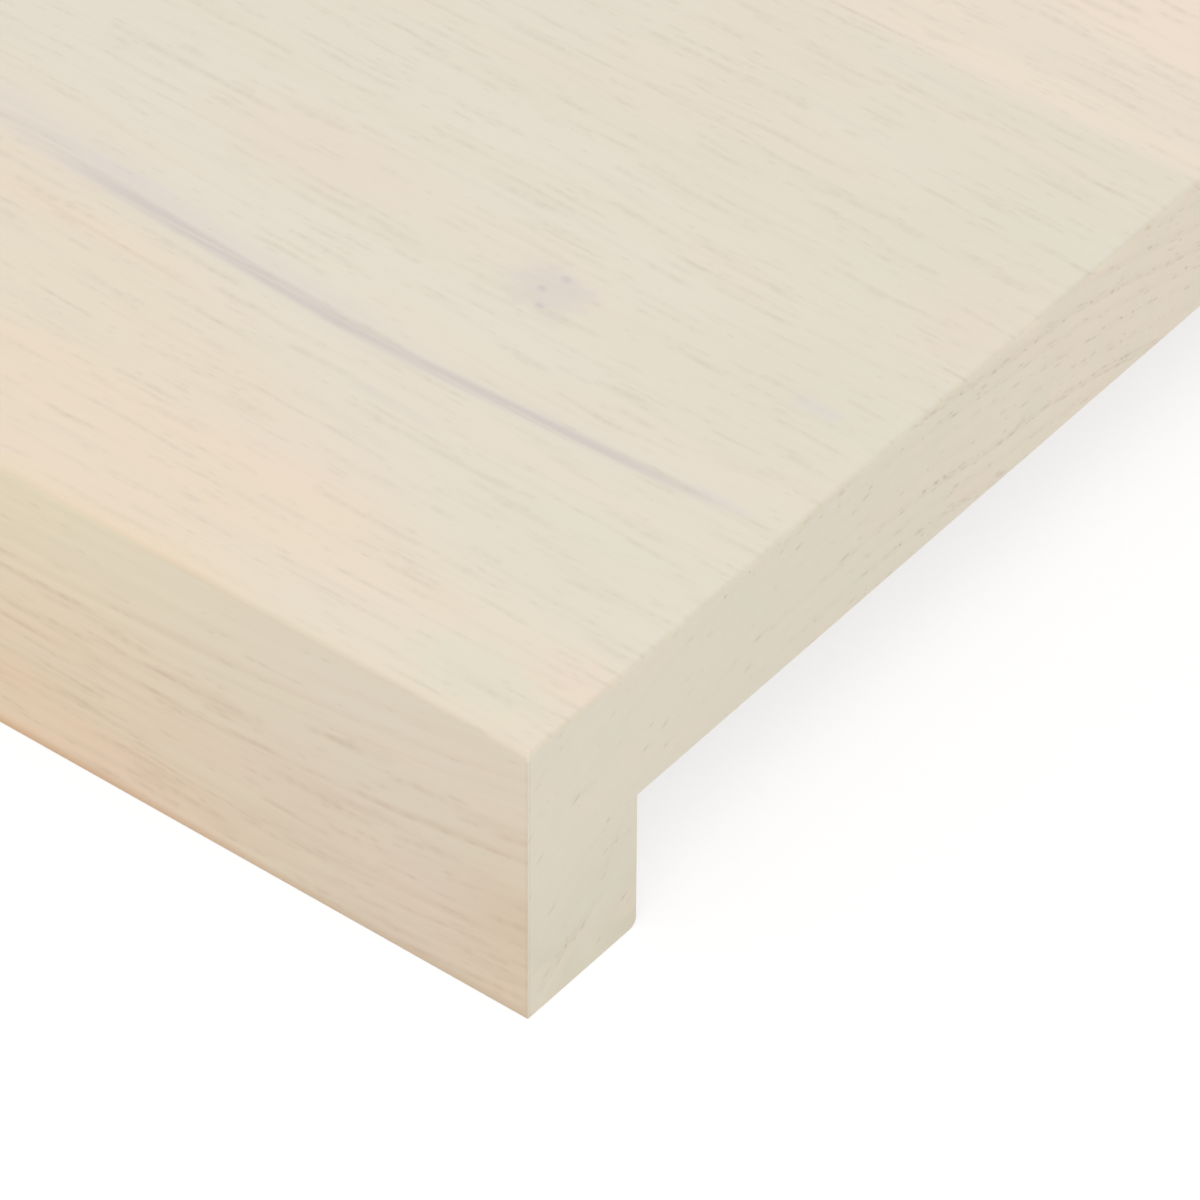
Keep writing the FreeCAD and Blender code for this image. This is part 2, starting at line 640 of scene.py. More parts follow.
@dataclass(frozen=True)
class Streak:
    """A streak along a face of the board, in millimetres in the face's own two axes."""

    along: float
    across: float
    half_length: float
    lean: float
    bow: float
    width: float
    strength: float
    tone: Colour = srgb(210, 201, 195)
    halo: float = 0.35


@dataclass(frozen=True)
class Blush:
    """A soft patch of another tone on the top face, in millimetres in the board's frame."""

    x: float
    y: float
    half_length: float
    half_width: float
    tone: Colour
    strength: float


@dataclass(frozen=True)
class Knot:
    """A pin knot on the top face, in millimetres in the board's frame."""

    x: float
    y: float
    size: float
    strength: float


@dataclass(frozen=True)
class Patches:
    """Soft patches of another tone: how long they are on each axis, and how strong."""

    tone: Colour
    strength: float
    reach: Triple
    levels: Span = (0.45, 0.68)
    shift: Triple = (0.0, 0.0, 0.0)


@dataclass(frozen=True)
class OakFinish:
    """Oiled oak on one kind of face: its tones, the run of its fibres and its relief.

    The rise and the sweep are the slopes of the fibres' wave and of their upward sweep at the
    plank's ends, and the wander is how far they stray sideways, in millimetres. The relief is
    the depth of a vessel, in millimetres.
    """

    name: str
    oiled: Colour
    patches: tuple[Patches, ...]
    spring: Colour
    spring_strength: float
    rise: float
    rows: VesselRows
    vessels: tuple[VesselCut, ...]
    relief: float
    lines: tuple[VesselLine, ...] = ()
    sweep: float = 0.0
    wander: float = 5.0
    roughness: float = 0.56
    rough_vessels: float = 0.2
    fibre_contrast: float = 0.03
    fibre_reach: Triple = (30.0, 0.55, 1.0)
    fibre_detail: float = 2.0


class OakFace:
    """One kind of face of the plank, and the material that dresses it.

    Its places are in millimetres in the board's frame.
    """

    SPECULAR = 0.32
    ALL_SHUT = 0.75
    END_FADE = (62.0, 6.0)
    # Painted shade: the arrises and the upright corner are tinted a little darker, in patches, to damp
    # their highlight.
    ARRIS_PAINTED_SHADE = srgb(240, 239, 236)
    ARRIS_BAND = (0.3, 0.95)
    CORNER_ARRIS_BAND = (0.15, 0.6)
    CORNER_ARRIS_SHARE = 0.5
    ARRIS_SHADE_REACH = (16.0, 10.0, 4.0)
    ARRIS_SHADE_LEVELS = (0.2, 0.6, 0.6, 1.0)

    def __init__(self, board: SillBoard, effects: OakEffects, finish: OakFinish) -> None:
        """Start the face's material, and read places in it.

        Args:
            board: the board that the face is on.
            effects: the effects that the faces share.
            finish: the face's own finish.
        """
        self.board = board
        self.effects = effects
        self.finish = finish
        self.made = bpy.data.materials.new(finish.name)
        self.bench = NodeBench.cleared(self.made)
        metres = self.bench.node("TexCoord").outputs["Object"]
        self.place = self.bench.vector("MULTIPLY", metres, (PER_METRE, PER_METRE, PER_METRE))
        self.x, self.y, self.z = self.bench.parts(self.place)
        self.from_front = self.bench.math("SUBTRACT", self.y, board.low.y / MM)

    def material(self) -> bpy.types.Material:
        """Build the face's material, from the oil's ground tone up to the vessels.

        Returns:
            The material, with its colour, roughness and relief from nodes.
        """
        bench, finish = self.bench, self.finish
        run = {"Rise": finish.rise, "Sweep": self.sweep(), "Wander": finish.wander}
        fibre = self.effects.grain.place(bench, {"Place": self.place} | run)["Fibre"]
        rings = self.effects.rings.place(bench, {"Fibre": fibre})
        spot = self.spot(fibre, rings["Radius"])

        tone = self.figured(self.patched(self.ground()), rings["Spring"], spot)
        tone = self.marked(tone)
        openness = self.openness()
        crowd = self.gathered(bench.product(self.crowd(rings["Spring"], spot), openness))
        tone, pits = self.pitted(tone, spot, crowd)
        tone, hollow = self.ruled(tone, pits, spot, openness)

        feeds = {
            "Base Color": self.edged(tone),
            "Roughness": bench.math("MULTIPLY_ADD", hollow, finish.rough_vessels, finish.roughness),
            "Specular IOR Level": self.SPECULAR,
            "Normal": self.relief(pits),
        }
        shader = bench.node("BsdfPrincipled", feeds).outputs["BSDF"]
        bench.node("OutputMaterial", {"Surface": shader})
        return self.made

    def sweep(self) -> Feed:
        """Give the slope that the fibres sweep up to at the ends. Most faces have one slope."""
        return self.finish.sweep

    def spot(self, fibre: Feed, radius: Feed) -> Wire:
        """Lay a place flat on the face: along the board, and across its depth or up its height.

        Args:
            fibre: the place along the fibres.
            radius: the place's distance from the pith; not used here, only by the end faces' own spot.

        Returns:
            The spot on the face, first along the rows of vessels, then across them.
        """
        x, y, z = self.bench.parts(fibre)
        return self.bench.join(x, self.bench.math("ADD", y, z), 0.0)

    def openness(self) -> Feed:
        """Say how open the vessels are. Most faces are open all over."""
        return 1.0

    def near_end(self, fade: Span | None = None) -> Wire:
        """Rise from 0 to 1 towards either end of the plank, where the oil soaked in deeper.

        Args:
            fade: where it rises, from the end inwards, or None for the face's own fade.

        Returns:
            How near the place is to an end.
        """
        limits = [self.board.high.x / MM - gap for gap in fade or self.END_FADE]
        return self.bench.step(self.bench.math("ABSOLUTE", self.x), *limits)

    def ground(self) -> Feed:
        """Lay the oiled wood's own tone over the face, evenly."""
        return self.finish.oiled

    def patched(self, tone: Feed) -> Feed:
        """Let the tone drift in soft patches drawn out along the board.

        Args:
            tone: the colour so far.

        Returns:
            The colour with its patches.
        """
        for patches in self.finish.patches:
            drift = self.bench.noise(self.bench.vector("ADD", self.place, patches.shift), patches.reach)
            share = self.bench.step(drift, *patches.levels, 0.0, patches.strength)
            tone = self.bench.blend(share, tone, patches.tone)
        return tone

    def figured(self, tone: Feed, spring: Feed, spot: Feed) -> Wire:
        """Draw the growth rings and the fine lines of the fibres.

        Args:
            tone: the colour so far.
            spring: how far the wood is spring wood.
            spot: the spot on the face.

        Returns:
            The colour with its figure.
        """
        bench, finish = self.bench, self.finish
        tone = bench.blend(bench.product(spring, finish.spring_strength), tone, finish.spring)
        lines = bench.noise(spot, finish.fibre_reach, finish.fibre_detail, Axes.FLAT)
        half = finish.fibre_contrast / 2
        feeds = {0: tone, "Scale": bench.spread(lines, 1.0 - half, 1.0 + half)}
        return bench.node("VectorMath", feeds, operation="SCALE").outputs[0]

    def marked(self, tone: Feed) -> Feed:
        """Add the marks that only this kind of face has. Plain faces have none."""
        return tone

    def crowd(self, spring: Feed, spot: Feed) -> Wire:
        """Work out how densely the vessels stand, from the rings and from rows of their own.

        Args:
            spring: how far the wood is spring wood.
            spot: the spot on the face.

        Returns:
            How far a place is inside a row of vessels.
        """
        rows = self.finish.rows
        free = self.bench.noise(spot, rows.reach, axes=Axes.FLAT)
        free = self.bench.step(free, *rows.levels, 0.0, 1.0 - rows.hold_of_rings)
        return self.bench.math("MULTIPLY_ADD", spring, rows.hold_of_rings, free)

    def gathered(self, crowd: Feed) -> Feed:
        """Add the rows of vessels that only this kind of face has. Most faces have none."""
        return crowd

    def streak_at(self, place: Feed, streak: Streak, wobble: Feed = 0.0, strands: Feed = 1.0) -> Outlets:
        """Find how far a place is inside a streak.

        Args:
            place: the place in the face's own two axes.
            streak: the streak.
            wobble: how far the streak's path strays here.
            strands: how strong the streak is in the fibres here.

        Returns:
            The streak effect's outputs.
        """
        feeds = {
            "Place": place,
            "Wobble": wobble,
            "Strands": strands,
            "Along": streak.along,
            "Across": streak.across,
            "Half Length": streak.half_length,
            "Lean": streak.lean,
            "Bow": streak.bow,
            "Width": streak.width,
        }
        return self.effects.streak.place(self.bench, feeds)

    def pitted(self, tone: Feed, spot: Feed, crowd: Feed) -> tuple[Feed, Feed]:
        """Darken the rows of vessels, and each vessel that the face cuts open.

        Args:
            tone: the colour so far.
            spot: the spot on the face.
            crowd: how far a place is inside a row of vessels.

        Returns:
            The colour with its vessels, and how far each place is inside one.
        """
        bench, rows = self.bench, self.finish.rows
        tone = bench.blend(bench.product(crowd, rows.strength), tone, rows.tone)
        hollow: Feed = 0.0
        for cut in self.finish.vessels:
            feeds = {
                "Spot": spot,
                "Length": cut.length,
                "Pitch": cut.pitch,
                "Radius": cut.radius,
                "Share": bench.spread(crowd, cut.share_apart, cut.share_in_rows),
            }
            inside = bench.product(self.effects.vessels.place(bench, feeds)["Hollow"], cut.strength)
            tone = bench.blend(inside, tone, cut.tone)
            hollow = bench.math("MAXIMUM", hollow, inside)
        return tone, hollow

    def ruled(self, tone: Feed, hollow: Feed, spot: Feed, openness: Feed) -> tuple[Feed, Feed]:
        """Darken the lines of vessels that run along the face.

        Args:
            tone: the colour so far.
            hollow: how far each place is inside a vessel so far.
            spot: the spot on the face.
            openness: how open the vessels are at the place.

        Returns:
            The colour with its lines, and how far each place is inside a vessel or a line.
        """
        bench = self.bench
        for line in self.finish.lines:
            feeds = {
                "Spot": spot,
                "Length": line.length,
                "Pitch": line.pitch,
                "Width": line.width,
                "Shut": bench.step(openness, 0.0, 1.0, self.ALL_SHUT, line.shut),
            }
            inside = bench.product(self.effects.lines.place(bench, feeds)["Hollow"], line.strength)
            tone = bench.blend(inside, tone, line.tone)
            hollow = bench.math("MAXIMUM", hollow, inside)
        return tone, hollow

    def edged(self, tone: Feed) -> Feed:
        """Darken the eased arrises and the upright corner with painted shade, in patches, which damps
        their highlight.

        Args:
            tone: the colour so far.

        Returns:
            The colour with the painted shade on its arrises.
        """
        bench = self.bench
        below = bench.math("SUBTRACT", self.z, self.board.high.z / MM)
        past_end = bench.math("SUBTRACT", bench.math("ABSOLUTE", self.x), self.board.high.x / MM)
        to_front = bench.length(bench.join(0.0, self.from_front, below))
        to_end = bench.length(bench.join(past_end, 0.0, below))
        to_corner = bench.length(bench.join(past_end, self.from_front, 0.0))
        eased = bench.fall(bench.math("MINIMUM", to_front, to_end), *self.ARRIS_BAND)
        upright = bench.fall(to_corner, *self.CORNER_ARRIS_BAND, self.CORNER_ARRIS_SHARE)
        arris_shade = bench.step(bench.noise(self.place, self.ARRIS_SHADE_REACH), *self.ARRIS_SHADE_LEVELS)
        share = bench.product(bench.math("MAXIMUM", eased, upright), arris_shade)
        # Painted shade: tint the arrises darker where they would catch the light.
        return bench.blend(share, tone, self.ARRIS_PAINTED_SHADE, Coat.TINT)

    def relief(self, pits: Feed) -> Wire:
        """Sink the vessels that the face cuts open."""
        feeds = {"Strength": 1.0, "Distance": self.finish.relief * MM, "Height": pits}
        return self.bench.node("Bump", feeds, invert=True).outputs["Normal"]


class TopFace(OakFace):
    """The top of the board, with its mineral streaks and pin knots."""

    END_TONE = srgb(228, 221, 204)
    FRONT_WARMTH = srgb(236, 220, 198)
    FRONT_BAND = (37.0, 51.0)
    FRONT_NARROWS = (110.0, 5.0)
    FRONT_NARROWING = 27.0
    FRONT_AT_ENDS = 0.6
    BACK_WARMTH = srgb(241, 225, 207)
    BACK_BAND_RISES = (120.0, 128.0)
    BACK_BAND_FALLS = (176.0, 214.0)
    BAND_WAVE = 7.0
    BAND_REACH = (130.0, 30.0, 30.0)
    HALO_TONE = srgb(223, 215, 204)
    SPECK_TONE = srgb(212, 202, 198)
    BRUISE_TONE = srgb(220, 210, 203)
    BRUISE_STRENGTH = 0.7
    BLUSH_EDGE = (0.2, 1.1)
    EDGE_WARMTH = srgb(238, 219, 192)
    EDGE_BAND = (0.6, 3.6)
    EDGE_REACH = (22.0, 12.0, 8.0)
    EDGE_LEVELS = (0.3, 0.65, 0.2, 0.7)
    WOBBLE = 0.5
    WOBBLE_REACH = (30.0, 12.0, 12.0)
    STRAND_REACH = (26.0, 0.7, 0.7)
    STRAND_LEVELS = (0.32, 0.6, 0.5, 1.0)
    RAGGED = 0.8
    RAGGED_REACH = (3.4, 2.0, 2.0)
    LILAC = srgb(223, 215, 209)
    UMBER = srgb(216, 200, 184)
    PINK = srgb(236, 218, 203)
    GREEN = srgb(226, 222, 200)
    ORANGE = srgb(236, 218, 199)
    STREAKS = (
        Streak(386.0, -77.6, 30.0, -1.2, 0.0, 5.0, 0.5, LILAC, 0.0),
        Streak(418.0, -79.5, 30.0, -1.0, 0.0, 3.2, 0.4, LILAC, 0.0),
        Streak(443.0, -82.05, 52.0, 0.07, 2.88, 1.4, 0.86),
        Streak(408.0, -87.5, 17.0, -0.9, 0.0, 0.6, 0.3, UMBER, 0.0),
        Streak(452.0, -89.2, 7.0, -0.1, 0.0, 1.0, 0.3, halo=0.0),
        Streak(490.5, -79.2, 4.5, 0.1, 0.0, 1.2, 0.5, LILAC, 0.0),
        Streak(489.6, -60.0, 3.4, 0.1, 0.0, 1.1, 0.7, LILAC, 0.2),
        Streak(214.0, 18.0, 84.0, 3.4, -2.6, 1.2, 0.45),
        Streak(-36.0, -61.0, 70.0, -2.0, 3.2, 1.3, 0.5),
        Streak(-262.0, 64.0, 96.0, 2.2, 2.4, 1.1, 0.35),
        Streak(-398.0, -38.0, 58.0, -1.4, -2.2, 1.4, 0.45),
    )
    BLUSHES = (
        Blush(418.0, -60.5, 18.0, 8.0, PINK, 0.45),
        Blush(449.0, -103.0, 18.0, 7.0, PINK, 0.3),
        Blush(487.0, -118.0, 13.0, 7.0, GREEN, 0.7),
        Blush(496.0, -112.0, 7.0, 7.0, ORANGE, 0.45),
        Blush(495.0, -37.0, 12.0, 15.0, ORANGE, 0.4),
    )
    KNOTS = (
        Knot(453.4, -62.9, 1.0, 1.0),
        Knot(118.0, 71.0, 1.3, 0.8),
        Knot(-187.0, -22.0, 1.1, 0.9),
        Knot(-431.0, 92.0, 0.9, 0.8),
    )

    def spot(self, fibre: Feed, radius: Feed) -> Wire:
        """Lie along the board and across its depth."""
        x, y, _ = self.bench.parts(fibre)
        return self.bench.join(x, y, 0.0)

    def ground(self) -> Feed:
        """Warm the oil near the front edge and in a band towards the back, and cool the ends.

        Returns:
            The ground tone.
        """
        bench = self.bench
        near_end = self.near_end()
        tone = bench.blend(near_end, self.finish.oiled, self.END_TONE)
        waved = bench.drift(self.place, self.BAND_REACH)
        from_front = bench.math("MULTIPLY_ADD", waved, self.BAND_WAVE, self.from_front)
        rising = bench.step(from_front, *self.BACK_BAND_RISES)
        falling = bench.fall(from_front, *self.BACK_BAND_FALLS)
        tone = bench.blend(bench.product(rising, falling), tone, self.BACK_WARMTH)
        narrowing = bench.product(self.near_end(self.FRONT_NARROWS), self.FRONT_NARROWING)
        front = bench.fall(bench.math("ADD", from_front, narrowing), *self.FRONT_BAND)
        front_level = bench.step(near_end, 0.0, 1.0, 1.0, self.FRONT_AT_ENDS)
        return bench.blend(bench.product(front, front_level), tone, self.FRONT_WARMTH)

    def marked(self, tone: Feed) -> Feed:
        """Lay the blushes, streaks and knots into the tone.

        Args:
            tone: the colour so far.

        Returns:
            The colour with its marks.
        """
        bench = self.bench
        ragged = bench.product(bench.drift(self.place, self.RAGGED_REACH), self.RAGGED)
        for blush in self.BLUSHES:
            tone = self.blushed(tone, ragged, blush)
        wobble = bench.product(bench.drift(self.place, self.WOBBLE_REACH), self.WOBBLE)
        strands = bench.step(bench.noise(self.place, self.STRAND_REACH), *self.STRAND_LEVELS)
        for streak in self.STREAKS:
            tone = self.streaked(tone, wobble, strands, streak)
        for knot in self.KNOTS:
            tone = self.knotted(tone, ragged, knot)
        return tone

    def blushed(self, tone: Feed, ragged: Feed, blush: Blush) -> Wire:
        """Lay one soft patch into the tone.

        Args:
            tone: the colour so far.
            ragged: how far the patch's edge strays here.
            blush: the patch.

        Returns:
            The colour with the patch.
        """
        bench = self.bench
        offset = bench.vector("SUBTRACT", self.place, (blush.x, blush.y, 0.0))
        shape = (1.0 / blush.half_length, 1.0 / blush.half_width, 0.0)
        reach = bench.math("ADD", bench.length(bench.vector("MULTIPLY", offset, shape)), ragged)
        return bench.blend(bench.fall(reach, *self.BLUSH_EDGE, blush.strength), tone, blush.tone)

    def streaked(self, tone: Feed, wobble: Feed, strands: Feed, streak: Streak) -> Wire:
        """Lay one mineral streak and its halo into the tone.

        Args:
            tone: the colour so far.
            wobble: how far the streak's path strays here.
            strands: how strong the stain is in the fibres here.
            streak: the streak.

        Returns:
            The colour with the streak.
        """
        bench = self.bench
        found = self.streak_at(self.place, streak, wobble, strands)
        tone = bench.blend(bench.product(found["Halo"], streak.halo), tone, self.HALO_TONE)
        return bench.blend(bench.product(found["Stain"], streak.strength), tone, streak.tone)

    def knotted(self, tone: Feed, ragged: Feed, knot: Knot) -> Wire:
        """Lay one pin knot into the tone.

        Args:
            tone: the colour so far.
            ragged: how far the bruise's edge strays here.
            knot: the knot.

        Returns:
            The colour with the knot.
        """
        bench = self.bench
        centre = (knot.x, knot.y, 0.0)
        feeds = {"Place": self.place, "Ragged": ragged, "Centre": centre, "Size": knot.size}
        found = self.effects.knot.place(bench, feeds)
        bruise = bench.product(found["Bruise"], knot.strength * self.BRUISE_STRENGTH)
        tone = bench.blend(bruise, tone, self.BRUISE_TONE)
        return bench.blend(bench.product(found["Specks"], knot.strength), tone, self.SPECK_TONE)

    def edged(self, tone: Feed) -> Feed:
        """Warm the last millimetres along the front too, in patches that stop short of the ends.

        Args:
            tone: the colour so far.

        Returns:
            The colour with its warmed front edge and the painted shade on its arrises.
        """
        bench = self.bench
        near = bench.fall(self.from_front, *self.EDGE_BAND)
        near = bench.product(near, bench.math("SUBTRACT", 1.0, self.near_end()))
        patchy = bench.step(bench.noise(self.place, self.EDGE_REACH), *self.EDGE_LEVELS)
        return super().edged(bench.blend(bench.product(near, patchy), tone, self.EDGE_WARMTH))


class FrontFace(OakFace):
    """The front of the nosing, warmer than the top, with painted shade that darkens and warms it towards
    its foot.
    """

    # Painted shade: the face turns darker and warmer towards its foot.
    LOW_PAINTED_SHADE = srgb(232, 207, 179)
    END_TONE = srgb(229, 217, 197)
    LOW_END_PAINTED_SHADE = srgb(221, 205, 185)
    CORNER_TONE = srgb(222, 202, 177)
    CORNER_FADE = (14.0, 2.0)
    CORNER_BAND = (8.0, 38.0)
    END_FADE = (76.0, 20.0)
    LOW_SHADE_BAND = (4.0, 36.0)
    LEAST_SWEEP = 0.02
    SWEEP_BAND = (2.0, 28.0)
    # Painted shade along the nosing's lower arris.
    FOOT_ARRIS_SHADE = srgb(213, 180, 145)
    FOOT_ARRIS_END_SHADE = srgb(210, 189, 164)
    FOOT_ARRIS_SHADE_BAND = (0.2, 1.8)
    CLOSES = (18.0, 36.0)
    CLOSED = 0.3

    def openness(self) -> Feed:
        """Close the grain up the face, where more of the oil dried in it."""
        return self.bench.step(self.z, *self.CLOSES, 1.0, self.CLOSED)

    def sweep(self) -> Feed:
        """Lay the fibres flatter towards the foot."""
        return self.bench.step(self.z, *self.SWEEP_BAND, self.LEAST_SWEEP, self.finish.sweep)

    def ground(self) -> Feed:
        """Darken and warm the face towards its foot with painted shade, and grey it towards the ends.

        Returns:
            The ground tone.
        """
        bench = self.bench
        # How far down the face the painted shade has reached.
        low = bench.fall(self.z, *self.LOW_SHADE_BAND)
        middle = bench.blend(low, self.finish.oiled, self.LOW_PAINTED_SHADE)
        end = bench.blend(low, self.END_TONE, self.LOW_END_PAINTED_SHADE)
        tone = bench.blend(self.near_end(), middle, end)
        low_corner = bench.fall(self.z, *self.CORNER_BAND)
        at_corner = bench.product(self.near_end(self.CORNER_FADE), low_corner)
        return bench.blend(at_corner, tone, self.CORNER_TONE)

    def edged(self, tone: Feed) -> Feed:
        """Paint shade along the lower arris too, as a thin dark warm line.

        Args:
            tone: the colour so far.

        Returns:
            The colour with the painted shade on its arrises.
        """
        bench = self.bench
        # Painted shade along the lower arris, greyer near the ends.
        foot = bench.fall(self.z, *self.FOOT_ARRIS_SHADE_BAND)
        arris_shade = bench.blend(self.near_end(), self.FOOT_ARRIS_SHADE, self.FOOT_ARRIS_END_SHADE)
        return bench.blend(foot, super().edged(tone), arris_shade)


class EndFace(OakFace):
    """The sawn and sanded end grain, where the growth rings show as rows of dots."""

    # Painted shade: the end grows darker towards the foot of the nosing.
    FOOT_PAINTED_SHADE = srgb(218, 211, 190)
    FOOT_SHADE_BAND = (-4.0, 26.0)
    BACK_TONE = srgb(236, 224, 205)
    BACK_BAND = (50.0, 110.0)
    OPENS = (30.0, 85.0)
    CLOSED = 0.12
    PIT_ROWS = (
        Streak(-117.6, 6.5, 6.0, 3.3, 0.0, 1.3, 0.9),
        Streak(-115.2, 27.9, 2.4, 0.1, 0.0, 0.9, 0.9),
        Streak(-109.6, 16.0, 3.0, 4.2, 0.0, 1.1, 0.5),
    )

    def spot(self, fibre: Feed, radius: Feed) -> Wire:
        """Lie along the rings, and across them."""
        _, y, _ = self.bench.parts(fibre)
        return self.bench.join(y, radius, 0.0)

    def openness(self) -> Feed:
        """Close the grain towards the front, where more of the oil dried in it."""
        return self.bench.step(self.from_front, *self.OPENS, self.CLOSED, 1.0)

    def gathered(self, crowd: Feed) -> Feed:
        """Add a few short rows of pits on the nosing, which cross the rings.

        Args:
            crowd: how far a place is inside a row of vessels so far.

        Returns:
            How far it is inside any row.
        """
        bench = self.bench
        section = bench.join(self.y, self.z, 0.0)
        for row in self.PIT_ROWS:
            inside = bench.product(self.streak_at(section, row)["Stain"], row.strength)
            crowd = bench.math("MAXIMUM", crowd, inside)
        return crowd

    def ground(self) -> Feed:
        """Lay the oil, with painted shade that darkens it down the nosing, and warmer towards the back.

        Returns:
            The ground tone.
        """
        bench = self.bench
        to_back = bench.step(self.from_front, *self.BACK_BAND)
        tone = bench.blend(to_back, self.finish.oiled, self.BACK_TONE)
        # Painted shade down the nosing.
        return bench.blend(bench.fall(self.z, *self.FOOT_SHADE_BAND), tone, self.FOOT_PAINTED_SHADE)


class WallFace(OakFace):
    """The faces that meet the wall and the window frame, planed and evenly oiled."""


TOP_FINISH = OakFinish(
    name="oiled_top",
    oiled=srgb(231, 222, 206),
    patches=(
        Patches(srgb(235, 221, 205), 0.35, (48.0, 15.0, 15.0)),
        Patches(srgb(227, 222, 203), 0.4, (60.0, 11.0, 11.0), shift=(300.0, 90.0, 0.0)),
    ),
    spring=srgb(224, 215, 197),
    spring_strength=0.15,
    rise=0.018,
    rows=VesselRows((20.0, 1.3, 1.0), (0.52, 0.74), 0.0, srgb(212, 203, 186), 0.12),
    vessels=(VesselCut(2.2, 0.6, 0.3, 0.04, 0.4, srgb(202, 192, 175), 0.24),),
    relief=0.04,
    lines=(
        VesselLine(15.0, 1.9, 0.62, 0.53, srgb(202, 193, 176), 0.28),
        VesselLine(7.0, 1.3, 0.5, 0.57, srgb(205, 196, 179), 0.25),
    ),
)

FRONT_FINISH = OakFinish(
    name="oiled_front",
    oiled=srgb(235, 222, 195),
    patches=(
        Patches(srgb(231, 211, 190), 0.3, (36.0, 9.0, 9.0)),
        Patches(srgb(226, 217, 192), 0.35, (30.0, 7.0, 7.0), shift=(300.0, 90.0, 0.0)),
    ),
    spring=srgb(218, 197, 173),
    spring_strength=0.2,
    rise=0.02,
    rows=VesselRows((22.0, 1.8, 1.0), (0.52, 0.74), 0.2, srgb(205, 180, 155), 0.22),
    vessels=(VesselCut(2.4, 0.7, 0.36, 0.03, 0.4, srgb(194, 169, 146), 0.24),),
    relief=0.05,
    lines=(
        VesselLine(17.0, 2.1, 0.8, 0.52, srgb(196, 170, 145), 0.31),
        VesselLine(9.0, 1.4, 0.6, 0.55, srgb(198, 173, 149), 0.27),
    ),
    sweep=0.27,
    wander=7.0,
)

END_FINISH = OakFinish(
    name="oiled_end_grain",
    oiled=srgb(230, 222, 204),
    patches=(
        Patches(srgb(234, 220, 202), 0.4, (20.0, 13.0, 7.0)),
        Patches(srgb(227, 221, 203), 0.4, (20.0, 9.0, 7.0), shift=(300.0, 90.0, 0.0)),
    ),
    spring=srgb(222, 204, 184),
    spring_strength=0.05,
    rise=0.02,
    rows=VesselRows((12.0, 1.2, 1.0), (0.42, 0.66), 0.95, srgb(210, 192, 171), 0.12),
    vessels=(
        VesselCut(2.0, 0.8, 0.44, 0.005, 0.9, srgb(188, 172, 151), 0.34),
        VesselCut(1.3, 0.9, 0.36, 0.004, 0.3, srgb(184, 157, 128), 0.44),
        VesselCut(1.0, 0.55, 0.24, 0.02, 0.5, srgb(190, 175, 154), 0.26),
    ),
    relief=0.06,
    roughness=0.62,
    fibre_contrast=0.025,
    fibre_reach=(1.6, 1.2, 1.0),
)

WALL_FINISH = OakFinish(
    name="planed_wall_side",
    oiled=srgb(226, 213, 190),
    patches=(
        Patches(srgb(229, 209, 184), 0.6, (60.0, 17.0, 17.0)),
        Patches(srgb(220, 211, 188), 0.4, (60.0, 13.0, 13.0), shift=(300.0, 90.0, 0.0)),
    ),
    spring=srgb(210, 193, 165),
    spring_strength=0.4,
    rise=0.018,
    rows=VesselRows((26.0, 1.3, 1.0), (0.5, 0.68), 0.3, srgb(198, 179, 151), 0.25),
    vessels=(VesselCut(2.8, 0.6, 0.3, 0.06, 0.6, srgb(192, 174, 147), 0.4),),
    relief=0.06,
    lines=(
        VesselLine(17.0, 1.9, 0.62, 0.5, srgb(184, 165, 137), 0.45),
        VesselLine(8.0, 1.3, 0.5, 0.54, srgb(188, 170, 142), 0.4),
    ),
    roughness=0.66,
)


@dataclass(frozen=True)
class Strip:
    """One side of the board, laid flat: the way it faces, its two axes and its pixels per millimetre."""

    facing: Vector
    along: Axis
    across: Axis
    along_scale: float
    across_scale: float

    def spread(self, extent: Vector) -> Vector:
        """Turn an extent of the board, in metres, into pixels along and across the strip."""
        along, across = extent[self.along] / MM, extent[self.across] / MM
        return Vector((along * self.along_scale, across * self.across_scale))


